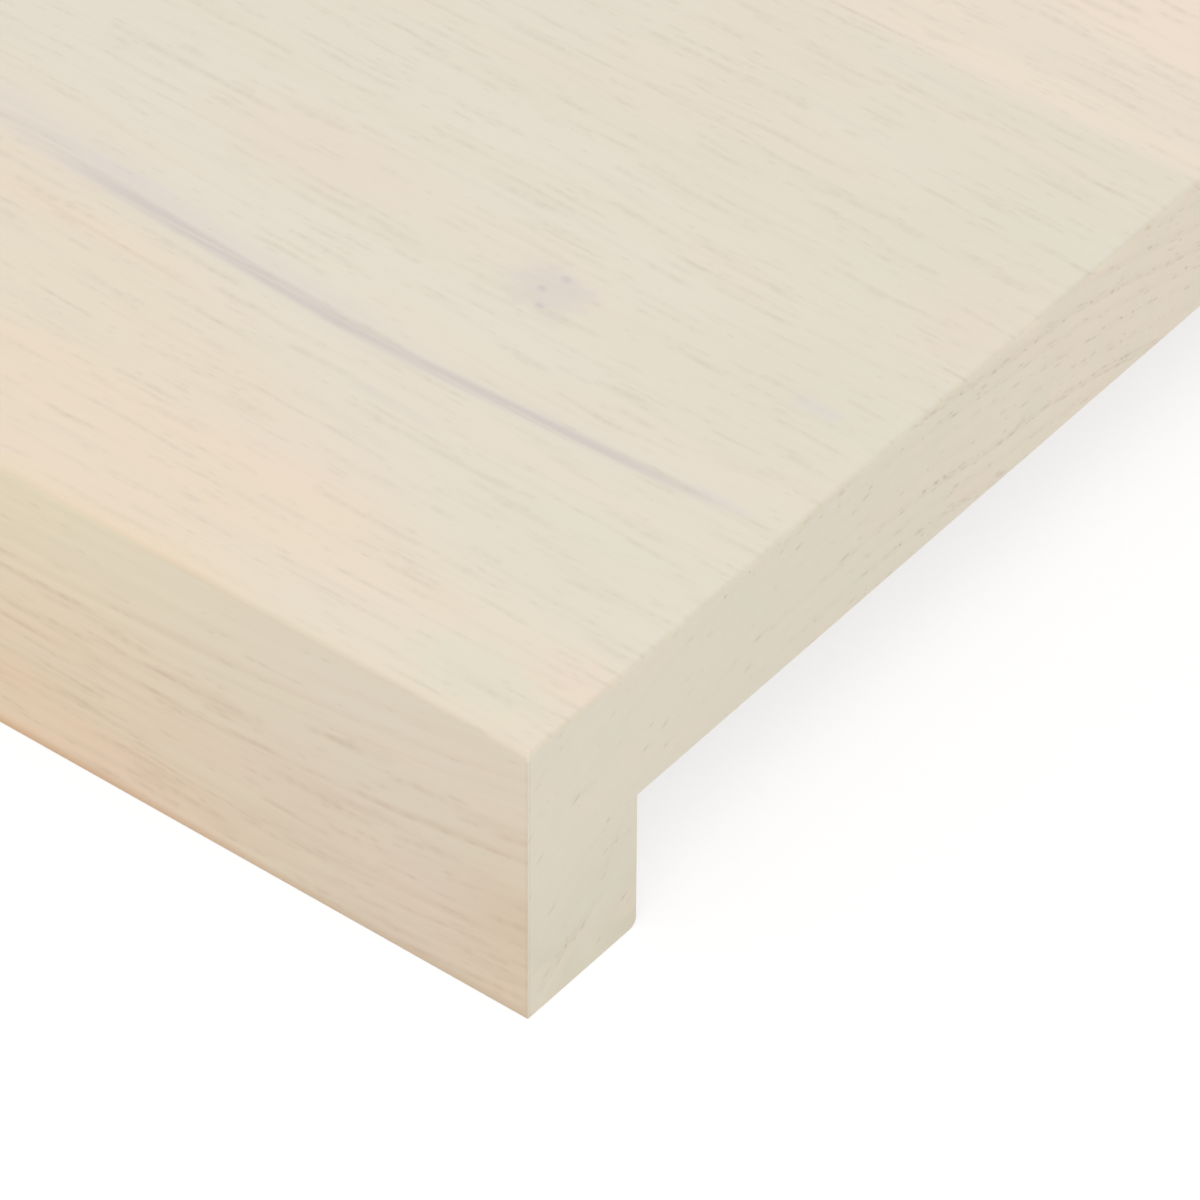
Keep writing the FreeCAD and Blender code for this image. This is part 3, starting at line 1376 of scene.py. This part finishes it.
@dataclass
class BakeSheet:
    """The sheet that the board's pattern is baked on, with finer pixels across the grain.

    The sides lie in rows from the foot of the sheet up, with a gap round each of them.
    """

    low: Vector
    high: Vector
    name: str = "OFBake"
    pixels: float = 1024.0
    gap: float = 12.0
    rows: tuple[tuple[Strip, ...], ...] = (
        (Strip(Vector((0.0, 1.0, 0.0)), Axis.X, Axis.Z, 1.0, 0.75),),
        (Strip(Vector((0.0, 0.0, -1.0)), Axis.X, Axis.Y, 1.0, 0.5),),
        (
            Strip(Vector((-1.0, 0.0, 0.0)), Axis.Y, Axis.Z, 1.94, 1.95),
            Strip(Vector((1.0, 0.0, 0.0)), Axis.Y, Axis.Z, 1.94, 1.95),
        ),
        (Strip(Vector((0.0, -1.0, 0.0)), Axis.X, Axis.Z, 1.0, 3.0),),
        (Strip(Vector((0.0, 0.0, 1.0)), Axis.X, Axis.Y, 1.0, 2.3),),
    )

    def corners(self) -> list[tuple[Strip, Vector]]:
        """Place each strip on the sheet.

        Returns:
            Each strip with its lower left corner, in pixels.
        """
        extent = self.high - self.low
        placed = []
        height = self.gap
        for row in self.rows:
            start = self.gap
            for strip in row:
                placed.append((strip, Vector((start, height))))
                start += strip.spread(extent).x + self.gap
            height += max(strip.spread(extent).y for strip in row) + self.gap
        return placed

    def lay(self, board: bpy.types.Object) -> None:
        """Lay each face of the board on the strip of the side that it faces most.

        Args:
            board: the modelled board.
        """
        placed = self.corners()
        sheet = board.data.uv_layers.new(name=self.name)
        for face in board.data.polygons:
            strip, corner = max(placed, key=lambda entry: entry[0].facing.dot(face.normal))
            for loop in face.loop_indices:
                vertex = board.data.vertices[board.data.loops[loop].vertex_index]
                sheet.data[loop].uv = (corner + strip.spread(vertex.co - self.low)) / self.pixels


class FaceSlot(IntEnum):
    """Material slots of the board, by the kind of face that wears them."""

    TOP = 0
    FRONT = 1
    END = 2
    WALL = 3


@dataclass
class SillBoard:
    """The moulded plank: a flat board with a nosing along its front edge, in metres.

    The box corners and the two step sizes come from the frame. The arrises are eased round the
    top, the nosing's foot is rounded towards the wall, and every other outer edge is only broken.
    The three facings are how far a normal has to lean to a side for a face to belong to it.
    """

    low: Vector
    high: Vector
    underside: float
    wall_side: float
    foot_radius: float = 1.3 * MM
    arris_radius: float = 0.8 * MM
    broken_edge: float = 0.18 * MM
    rounding_steps: int = 8
    sharp_angle: float = math.radians(35.0)
    flat_angle: float = math.radians(1.0)
    end_facing: float = 0.72
    top_facing: float = 0.6
    side_facing: float = 0.5
    node: str = "sill_board"
    slot: str = "oiled_oak"
    piece: str = "oak_sill_board"
    touching: float = 1e-6

    @classmethod
    def from_frame(cls, frame: dict) -> SillBoard:
        """Read the board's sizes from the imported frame.


        Returns:
            The board, not modelled yet.
        """
        low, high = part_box(cls.node)
        mounts = {mount["name"]: mount["pos_m"] for mount in frame["record"]["mounts"]}
        return cls(low, high, mounts["underside"][Axis.Z], mounts["nosing_back"][Axis.Y])

    def model(self) -> bpy.types.Object:
        """Model the board as by hand: saw the blank, draw out the nosing, ease the edges.

        Returns:
            The finished object, at the origin.
        """
        board = self.saw_blank()
        bpy.ops.object.mode_set(mode="EDIT")
        self.draw_out_nosing(board)
        self.round_foot(board)
        self.mark_edges(board)
        bpy.ops.object.mode_set(mode="OBJECT")
        self.ease_edges(board)
        BakeSheet(self.low, self.high).lay(board)
        return board

    def saw_blank(self) -> bpy.types.Object:
        """Add the flat board at its size and place.

        Returns:
            The blank.
        """
        size = self.high - self.low
        thickness = self.high.z - self.underside
        centre = (self.low + self.high) / 2
        centre.z = self.high.z - thickness / 2
        bpy.ops.object.select_all(action="DESELECT")
        bpy.ops.mesh.primitive_cube_add(size=1.0, location=centre, scale=(size.x, size.y, thickness))
        board = bpy.context.active_object
        board.name = self.piece
        board.data.name = self.piece
        bpy.ops.object.transform_apply(location=True, rotation=True, scale=True)
        return board

    def draw_out_nosing(self, board: bpy.types.Object) -> None:
        """Cut the underside at the nosing's wall side, and extrude the strip before it down.

        Args:
            board: the blank, in edit mode.
        """
        self.select(board, MeshPart.FACE, self.faces_down)
        bpy.ops.mesh.bisect(plane_co=(0.0, self.wall_side, 0.0), plane_no=(0.0, 1.0, 0.0))
        self.select(board, MeshPart.FACE, self.is_nosing_strip)
        drop = Vector((0.0, 0.0, self.low.z - self.underside))
        bpy.ops.mesh.extrude_region_move(TRANSFORM_OT_translate={"value": drop})
        bpy.ops.mesh.select_all(action="SELECT")
        bpy.ops.mesh.dissolve_limited(angle_limit=self.flat_angle)
        bpy.ops.mesh.select_all(action="SELECT")
        bpy.ops.mesh.normals_make_consistent(inside=False)

    def faces_down(self, face: bmesh.types.BMFace) -> bool:
        """Say whether a face looks down."""
        return face.normal.z < -self.side_facing

    def is_nosing_strip(self, face: bmesh.types.BMFace) -> bool:
        """Say whether a face is the strip of the underside in front of the wall."""
        return self.faces_down(face) and face.calc_center_median().y < self.wall_side

    @staticmethod
    def select(board: bpy.types.Object, part: MeshPart, wanted: Callable[..., bool]) -> None:
        """Select just the faces or the edges that pass a test.

        Args:
            board: the board, in edit mode.
            part: whether faces or edges are picked.
            wanted: the test that a picked face or edge passes.
        """
        bpy.ops.mesh.select_mode(type=part.name)
        bpy.ops.mesh.select_all(action="DESELECT")
        mesh = bmesh.from_edit_mesh(board.data)
        for item in getattr(mesh, part.value):
            if wanted(item):
                item.select_set(True)
        bmesh.update_edit_mesh(board.data)

    def round_foot(self, board: bpy.types.Object) -> None:
        """Round the nosing's foot on the wall side."""
        self.select(board, MeshPart.EDGE, self.is_foot_edge)
        bpy.ops.mesh.bevel(offset=self.foot_radius, segments=self.rounding_steps, affect="EDGES")

    def is_foot_edge(self, edge: bmesh.types.BMEdge) -> bool:
        """Say whether an edge is the nosing's lower one on the wall side."""
        return self.lies_at(edge, Axis.Y, self.wall_side) and self.lies_at(edge, Axis.Z, self.low.z)

    def lies_at(self, edge: bmesh.types.BMEdge, axis: Axis, place: float) -> bool:
        """Say whether both ends of an edge have the given coordinate on one axis."""
        return all(abs(end.co[axis] - place) < self.touching for end in edge.verts)

    def mark_edges(self, board: bpy.types.Object) -> None:
        """Mark each sharp outer edge with the share of the arris radius that it is eased by.

        Args:
            board: the board, in edit mode.
        """
        mesh = bmesh.from_edit_mesh(board.data)
        easing = mesh.edges.layers.float.new("bevel_weight_edge")
        for edge in mesh.edges:
            edge[easing] = self.edge_radius(edge) / self.arris_radius
        bmesh.update_edit_mesh(board.data)

    def edge_radius(self, edge: bmesh.types.BMEdge) -> float:
        """Work out how far an edge of the moulding is eased.

        Args:
            edge: the edge.

        Returns:
            Its radius, in metres, or 0 for an edge that isn't sharp or is an inner one.
        """
        if edge.calc_face_angle_signed() < self.sharp_angle:
            return 0.0
        at_back = self.lies_at(edge, Axis.Y, self.high.y)
        at_top = self.lies_at(edge, Axis.Z, self.high.z)
        return self.arris_radius if at_top and not at_back else self.broken_edge

    def ease_edges(self, board: bpy.types.Object) -> None:
        """Round the marked edges, with the flat faces kept flat in the light.

        Args:
            board: the board, in object mode.
        """
        bevel = board.modifiers.new("eased_edges", "BEVEL")
        bevel.limit_method = "WEIGHT"
        bevel.width = self.arris_radius
        bevel.segments = self.rounding_steps
        bevel.use_clamp_overlap = False
        normals = board.modifiers.new("flat_faces", "WEIGHTED_NORMAL")
        normals.keep_sharp = True
        bpy.ops.object.shade_smooth_by_angle(angle=self.sharp_angle)
        for modifier in [change.name for change in board.modifiers]:
            bpy.ops.object.modifier_apply(modifier=modifier)

    def dress(self, board: bpy.types.Object) -> None:
        """Give each face of the board the finish of its kind.

        Args:
            board: the modelled board.
        """
        effects = OakEffects(OakLog(plank_length=(self.high.x - self.low.x) / MM))
        faces = {
            FaceSlot.TOP: TopFace(self, effects, TOP_FINISH),
            FaceSlot.FRONT: FrontFace(self, effects, FRONT_FINISH),
            FaceSlot.END: EndFace(self, effects, END_FINISH),
            FaceSlot.WALL: WallFace(self, effects, WALL_FINISH),
        }
        board.data.materials.clear()
        for kind in FaceSlot:
            board.data.materials.append(faces[kind].material())
        for face in board.data.polygons:
            face.material_index = self.kind_of(face.normal, face.center)

    def kind_of(self, normal: Vector, centre: Vector) -> FaceSlot:
        """Tell which kind of face a place on the board's surface belongs to.

        Args:
            normal: the way that the place faces.
            centre: the place.

        Returns:
            The slot of its material.
        """
        if abs(normal.x) > self.end_facing:
            return FaceSlot.END
        if normal.z > self.top_facing:
            return FaceSlot.TOP
        under_nosing = centre.y < self.wall_side - self.touching and normal.z < -self.side_facing
        if normal.y < -self.side_facing or under_nosing:
            return FaceSlot.FRONT
        return FaceSlot.WALL

    def declare(self, board: bpy.types.Object) -> None:
        """Hang the board on the frame's root body, and hide the imported node that it is modelled on.

        Args:
            board: the dressed board.
        """
        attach(board, "root")
        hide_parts(self.node)


@dataclass
class PhotoCamera:
    """The camera of the photograph: a long lens that looks down on one front corner.

    The aim is measured from the board's upper front corner at the end that shows, along the
    board and in from its front. Lengths are in metres, the lens in millimetres and angles in degrees.
    """

    corner: Vector
    aim_along: float = -9.71 * MM
    aim_inward: float = 24.80 * MM
    azimuth: float = 38.09
    elevation: float = 42.57
    roll: float = 0.43
    distance: float = 1.246
    lens: float = 338.6
    nearest: float = 0.01
    farthest: float = 100.0

    @property
    def aim(self) -> Vector:
        """Give the place on the top face that the camera looks at."""
        return self.corner + Vector((self.aim_along, self.aim_inward, 0.0))

    def set_up(self) -> bpy.types.Object:
        """Add the camera and make it the scene's own.

        Returns:
            The camera object.
        """
        around, above = math.radians(self.azimuth), math.radians(self.elevation)
        back = Vector((
            math.sin(around) * math.cos(above),
            -math.cos(around) * math.cos(above),
            math.sin(above),
        ))
        right = Vector((math.cos(around), math.sin(around), 0.0))
        upright = Matrix((right, back.cross(right), back)).transposed().to_4x4()
        turned = upright @ Matrix.Rotation(math.radians(self.roll), 4, "Z")
        bpy.ops.object.camera_add()
        camera = bpy.context.active_object
        camera.name = "photo_camera"
        camera.matrix_world = Matrix.Translation(self.aim + back * self.distance) @ turned
        camera.data.lens = self.lens
        camera.data.clip_start = self.nearest
        camera.data.clip_end = self.farthest
        bpy.context.scene.camera = camera
        return camera


@dataclass(frozen=True)
class Softbox:
    """A large square lamp that faces the board, in metres and watts."""

    name: str
    place: Triple
    side: float
    power: float


@dataclass
class Studio:
    """A white studio: a pale floor, an even sky and large soft lamps."""

    aim: Vector
    floor_side: float = 60.0
    floor_tone: Colour = (0.9, 0.9, 0.9, 1.0)
    floor_glow: float = 0.7
    glow_level: float = 1.06
    sky_tone: Colour = (1.0, 1.0, 1.0, 1.0)
    sky_level: float = 0.484
    lamps: tuple[Softbox, ...] = (
        Softbox("overhead_softbox", (1.36, -1.04, 2.3), 2.2, 48.0),
    )

    def set_up(self) -> None:
        """Lay the floor, light the sky and hang the lamps, with plain display colours."""
        bpy.context.scene.view_settings.view_transform = "Standard"
        self.lay_floor()
        self.light_sky()
        for lamp in self.lamps:
            self.hang(lamp)

    @staticmethod
    def seen_directly(bench: NodeBench) -> Wire:
        """Tell the rays that show the background apart from those that carry light.

        Args:
            bench: the bench of the floor or the sky.

        Returns:
            1 for a ray that shows the background, otherwise 0.
        """
        rays = bench.node("LightPath").outputs
        shown = bench.math("MAXIMUM", rays["Is Camera Ray"], rays["Is Glossy Ray"])
        return bench.math("MAXIMUM", shown, rays["Is Transmission Ray"])

    def lay_floor(self) -> None:
        """Add the floor, which looks near white and still takes the board's shadow."""
        bpy.ops.object.select_all(action="DESELECT")
        bpy.ops.mesh.primitive_plane_add(size=self.floor_side, location=(0.0, 0.0, 0.0))
        floor = bpy.context.active_object
        floor.name = "studio_floor"
        paint = bpy.data.materials.new("studio_floor")
        bench = NodeBench.cleared(paint)
        matt = bench.node("BsdfDiffuse", {"Color": self.floor_tone}).outputs[0]
        glow = bench.node("Emission", {"Strength": self.glow_level}).outputs[0]
        share = bench.product(self.seen_directly(bench), self.floor_glow)
        mixed = bench.node("MixShader", {0: share, 1: matt, 2: glow}).outputs[0]
        bench.node("OutputMaterial", {"Surface": mixed})
        floor.data.materials.append(paint)

    def light_sky(self) -> None:
        """Light the board evenly from all round, and show plain white behind it."""
        world = bpy.data.worlds.new("studio_sky")
        bench = NodeBench.cleared(world)
        level = bench.step(self.seen_directly(bench), 0.0, 1.0, self.sky_level, 1.0)
        sky = bench.node("Background", {"Color": self.sky_tone, "Strength": level}).outputs[0]
        bench.node("OutputWorld", {"Surface": sky})
        bpy.context.scene.world = world

    def hang(self, lamp: Softbox) -> None:
        """Hang one lamp and turn it to the board.

        Args:
            lamp: the lamp.
        """
        bpy.ops.object.light_add(type="AREA", location=lamp.place)
        hung = bpy.context.active_object
        hung.name = lamp.name
        hung.data.shape = "SQUARE"
        hung.data.size = lamp.side
        hung.data.energy = lamp.power
        hung.visible_camera = False
        hung.rotation_euler = (self.aim - Vector(lamp.place)).to_track_quat("-Z", "Y").to_euler()


def main() -> None:
    """Build the board, dress it and set up the photograph's view."""
    logging.basicConfig(level=logging.INFO, format="%(name)s: %(message)s")
    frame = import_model()

    sill = SillBoard.from_frame(frame)
    board = sill.model()
    sill.dress(board)
    sill.declare(board)
    LOG.info("%s: %d faces, %d finishes", board.name, len(board.data.polygons), len(FaceSlot))

    photo = PhotoCamera(corner=Vector((sill.high.x, sill.low.y, sill.high.z)))
    camera = photo.set_up()
    LOG.info("%s: lens %.1f mm", camera.name, camera.data.lens)
    studio = Studio(aim=photo.aim)
    studio.set_up()
    LOG.info("studio: floor, sky and lamps (%d)", len(studio.lamps))


if __name__ == "__main__":
    main()
